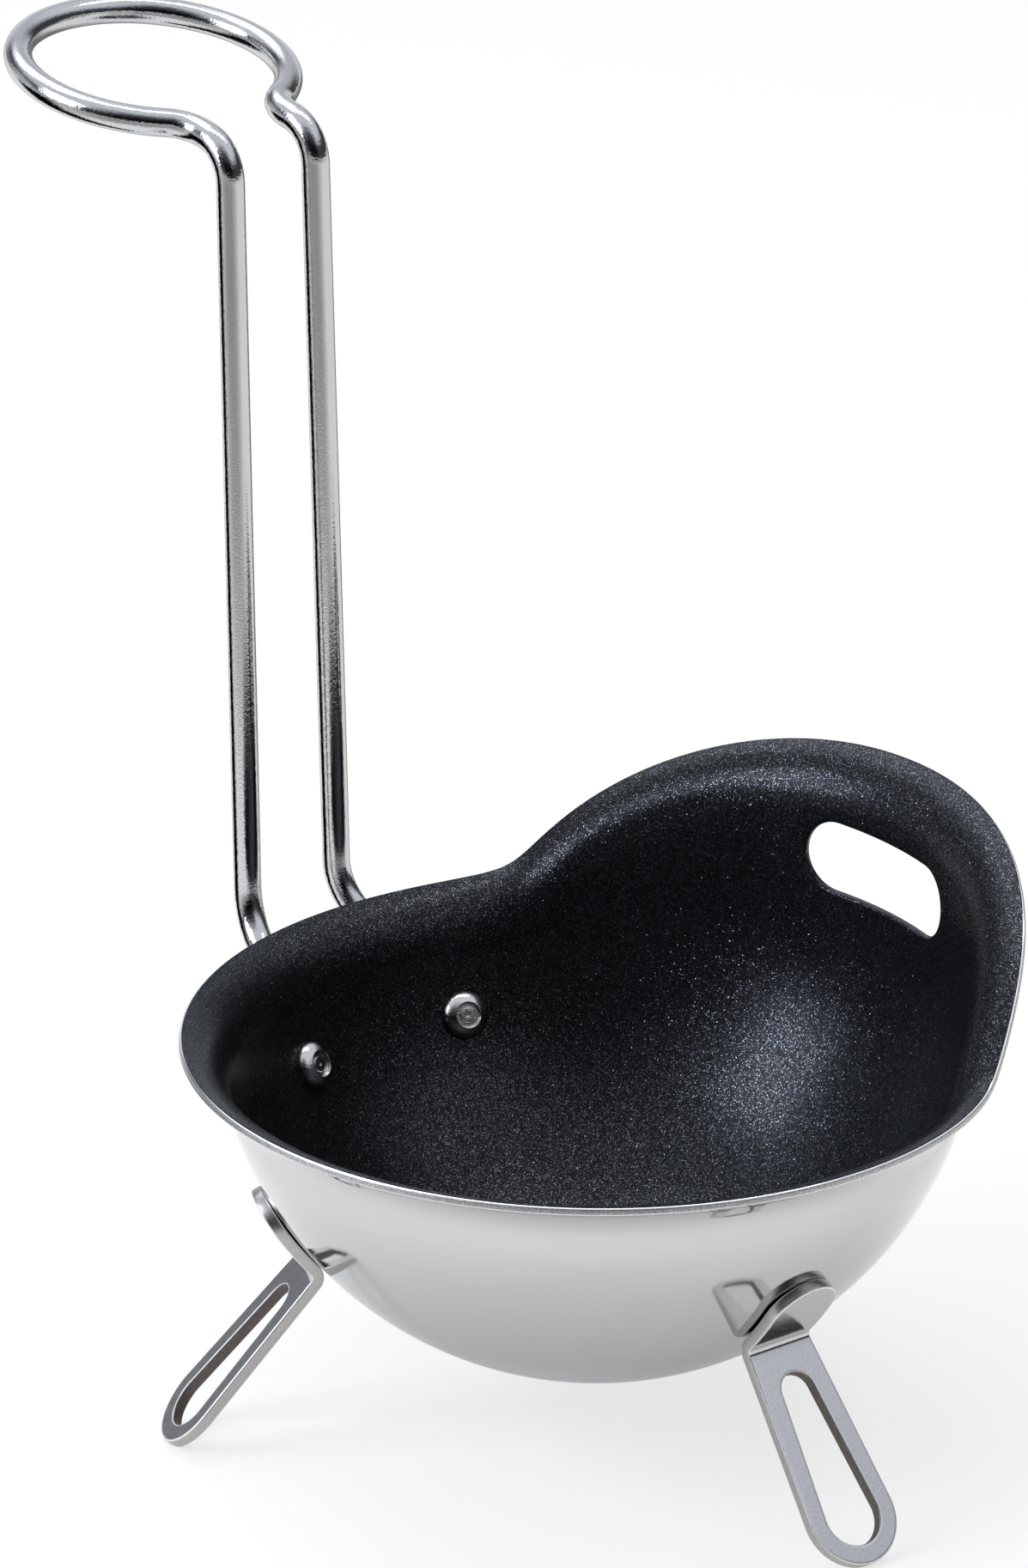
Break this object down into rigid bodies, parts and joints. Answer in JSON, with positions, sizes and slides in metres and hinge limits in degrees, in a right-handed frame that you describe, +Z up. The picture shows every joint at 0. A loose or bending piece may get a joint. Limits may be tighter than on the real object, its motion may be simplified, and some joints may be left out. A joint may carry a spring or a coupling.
{
  "type": "egg poaching bowl",
  "caption": "Round-bottomed steel egg poacher, black-coated inside, with a flared lip, a raised slotted wall, slotted strap legs and a tall bent-wire handle with a finger ring.",
  "frame": {"origin": "middle of the object's box, on the surface that it stands on", "axes": "+Z up, +Y from the bowl towards the handle, +X towards the raised wall"},
  "size_m": [0.1018, 0.1558, 0.1558],
  "materials": {
    "bowl_steel": "polished, soft reflections",
    "coating": "satin black non-stick with fine metallic flecks",
    "wire_steel": "bright polished wire",
    "rivet_steel": "polished",
    "leg_steel": "satin, tumbled edges"
  },
  "bodies": {
    "root": {"bowl_shell": "bowl_steel", "nonstick_lining": "coating", "handle_wire": "wire_steel", "handle_rivet_left": "rivet_steel", "handle_rivet_right": "rivet_steel", "leg_front": "leg_steel", "leg_left": "leg_steel", "leg_right": "leg_steel"}
  },
  "joints": []
}
